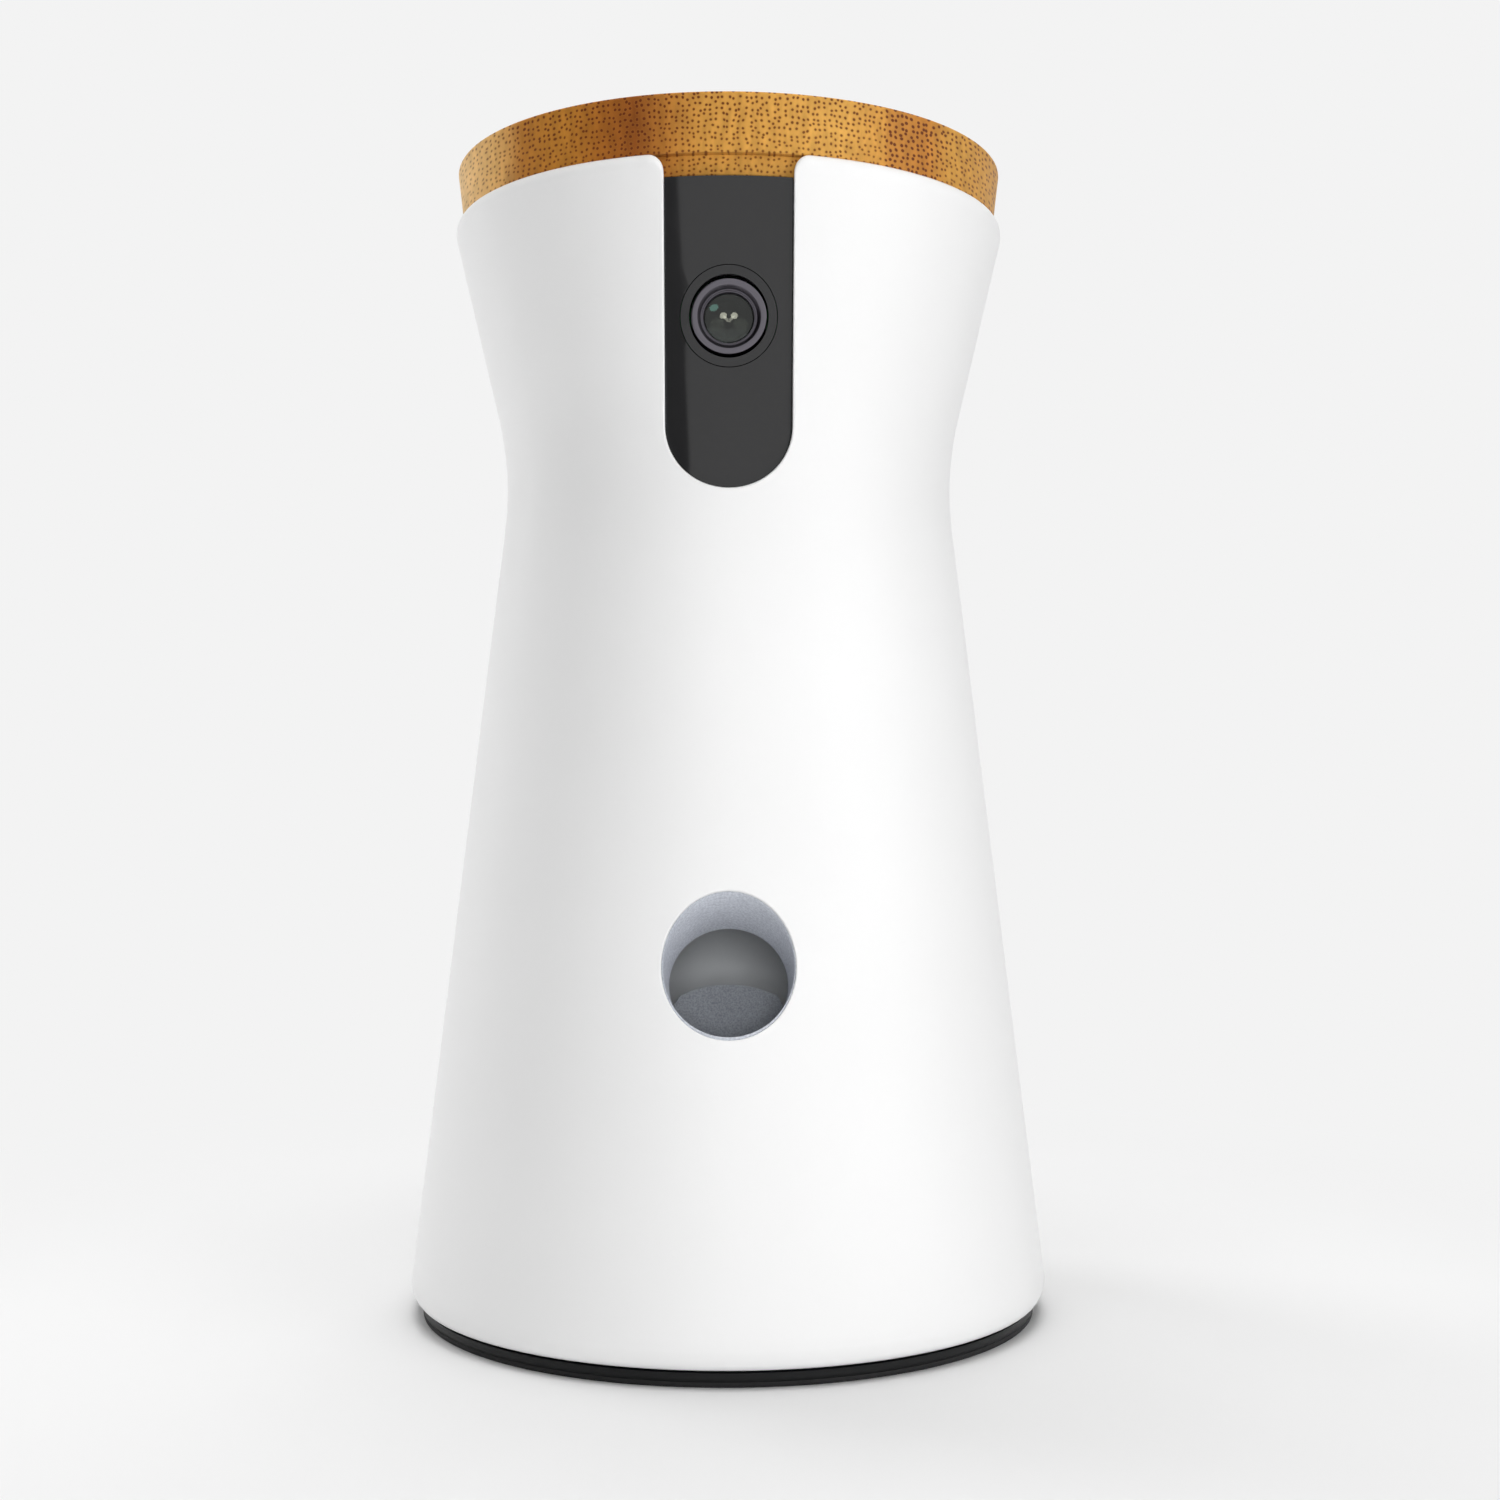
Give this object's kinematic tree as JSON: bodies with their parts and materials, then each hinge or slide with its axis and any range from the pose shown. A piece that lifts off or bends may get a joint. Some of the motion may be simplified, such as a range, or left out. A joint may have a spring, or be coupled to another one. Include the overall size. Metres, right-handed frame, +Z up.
{
  "type": "treat tossing pet camera",
  "caption": "Waisted white camera body that turns on a black foot, with a dark lens window, a wooden twist-off lid over a treat hopper and a sprung arm that tosses treats from a round chute.",
  "frame": {"origin": "middle of the foot on the table", "axes": "+Z up through the body's axis; the camera and the chute face -Y"},
  "size_m": [0.1236, 0.1236, 0.222],
  "materials": {
    "white_abs": "fine satin moulding",
    "black_abs": "satin moulding",
    "foot_rubber": "matt",
    "natural_acetal": "smooth moulding",
    "bright_steel": "rolled and zinc plated",
    "green_board": "solder mask over glass cloth",
    "board_black": "moulded components",
    "copper_strip": "etched copper on film",
    "gilt_can": "plated can",
    "smoked_acrylic": "polished moulding",
    "anodised_black": "turned and anodised",
    "coated_glass": "polished and coated",
    "inner_white_abs": "moulded",
    "speaker_paper": "pressed paper",
    "ferrite": "sintered magnet in a plated cup",
    "grey_abs": "spark-eroded grain",
    "dark_grey_abs": "spark-eroded grain",
    "bumper_rubber": "matt",
    "bamboo": "sanded end grain, oiled",
    "silicone": "moulded, translucent",
    "pinion_brass": "cut"
  },
  "bodies": {
    "base": {"base_plate": "black_abs", "foot_ring": "foot_rubber", "ring_gear": "natural_acetal", "ring_screws": "bright_steel", "lower_race": "bright_steel", "hub_retainer": "bright_steel", "hub_screws": "bright_steel", "power_board": "green_board", "power_socket": "bright_steel"},
    "cage": {"ball_cage": "natural_acetal", "bearing_balls": "bright_steel"},
    "rotor": {"turntable": "inner_white_abs", "upper_race": "bright_steel", "outer_shell": "white_abs", "shell_screws": "bright_steel", "chassis": "inner_white_abs", "frame_screws": "bright_steel", "main_board": "green_board", "board_parts": "board_black", "wifi_antenna": "copper_strip", "camera_window": "smoked_acrylic", "lens_trim": "smoked_acrylic", "lens_barrel": "anodised_black", "front_lens": "coated_glass", "rear_lens": "coated_glass", "camera_board": "green_board", "image_sensor": "board_black", "infrared_leds": "board_black", "microphone": "gilt_can", "camera_screws": "bright_steel", "speaker_frame": "board_black", "speaker_cone": "speaker_paper", "speaker_magnet": "ferrite", "hopper": "inner_white_abs", "hopper_baffle": "inner_white_abs", "drop_tube": "inner_white_abs", "launch_chute": "grey_abs", "toss_chamber": "inner_white_abs", "arm_bumpers": "bumper_rubber", "gear_pin": "bright_steel", "toss_motor": "bright_steel", "feed_motor": "bright_steel", "pan_motor": "bright_steel", "motor_screws": "bright_steel"},
    "pan_pinion": {"pan_pinion": "natural_acetal", "pan_shaft": "bright_steel"},
    "feed_disc": {"feed_disc": "inner_white_abs", "feed_gear": "natural_acetal"},
    "feed_pinion": {"feed_pinion": "natural_acetal", "feed_shaft": "bright_steel"},
    "toss_drive": {"toss_drive_gear": "natural_acetal"},
    "toss_pinion": {"toss_pinion": "pinion_brass"},
    "toss_arm": {"toss_arm": "dark_grey_abs", "arm_axle": "bright_steel", "arm_gear": "natural_acetal", "toss_spring": "bright_steel"},
    "seal": {"lid_seal": "silicone"},
    "lid": {"lid_disc": "bamboo", "lid_lock_ring": "inner_white_abs", "lid_screws": "bright_steel"}
  },
  "joints": [
    {"name": "pan_turn", "type": "hinge", "parent": "base", "child": "rotor", "pos_m": [0, 0, 0], "axis": [0, 0, 1], "range_deg": [-170, 170]},
    {"name": "cage_turn", "type": "hinge", "parent": "base", "child": "cage", "pos_m": [0, 0, 0], "axis": [0, 0, 1], "range_deg": [-86, 86]},
    {"name": "pan_pinion_turn", "type": "hinge", "parent": "rotor", "child": "pan_pinion", "pos_m": [-0.04148, 0.00657, 0.014], "axis": [0, 0, 1], "range_deg": [-1362, 1362]},
    {"name": "feed_disc_turn", "type": "hinge", "parent": "rotor", "child": "feed_disc", "pos_m": [0, 0.009, 0.13], "axis": [0, 0, 1], "continuous": true},
    {"name": "feed_pinion_turn", "type": "hinge", "parent": "rotor", "child": "feed_pinion", "pos_m": [0, 0.0218, 0.124], "axis": [0, 0, 1], "continuous": true},
    {"name": "toss_arm_swing", "type": "hinge", "parent": "rotor", "child": "toss_arm", "pos_m": [0, -0.04, 0.036], "axis": [-1, 0, 0], "range_deg": [0, 55], "stiffness_Nm_per_rad": 0.02, "springref_deg": -22.92, "deforming": ["toss_spring"]},
    {"name": "toss_drive_turn", "type": "hinge", "parent": "rotor", "child": "toss_drive", "pos_m": [0.018, -0.01636, 0.03183], "axis": [-1, 0, 0], "range_deg": [-111, 1]},
    {"name": "toss_pinion_turn", "type": "hinge", "parent": "rotor", "child": "toss_pinion", "pos_m": [0.021, -0.00336, 0.03183], "axis": [-1, 0, 0], "range_deg": [-2, 368]},
    {"name": "lid_lift", "type": "slide", "parent": "rotor", "child": "seal", "axis": [0, 0, 1], "range_m": [0, 0.07]},
    {"name": "lid_twist", "type": "hinge", "parent": "seal", "child": "lid", "pos_m": [0, 0, 0.21], "axis": [0, 0, -1], "range_deg": [0, 28]}
  ],
  "couplings": [
    {"joint": "cage_turn", "follows": "pan_turn", "ratio": 0.5},
    {"joint": "pan_pinion_turn", "follows": "pan_turn", "ratio": -8},
    {"joint": "feed_pinion_turn", "follows": "feed_disc_turn", "ratio": -1.6667},
    {"joint": "toss_drive_turn", "follows": "toss_arm_swing", "ratio": -2},
    {"joint": "toss_pinion_turn", "follows": "toss_arm_swing", "ratio": 6.6667}
  ]
}
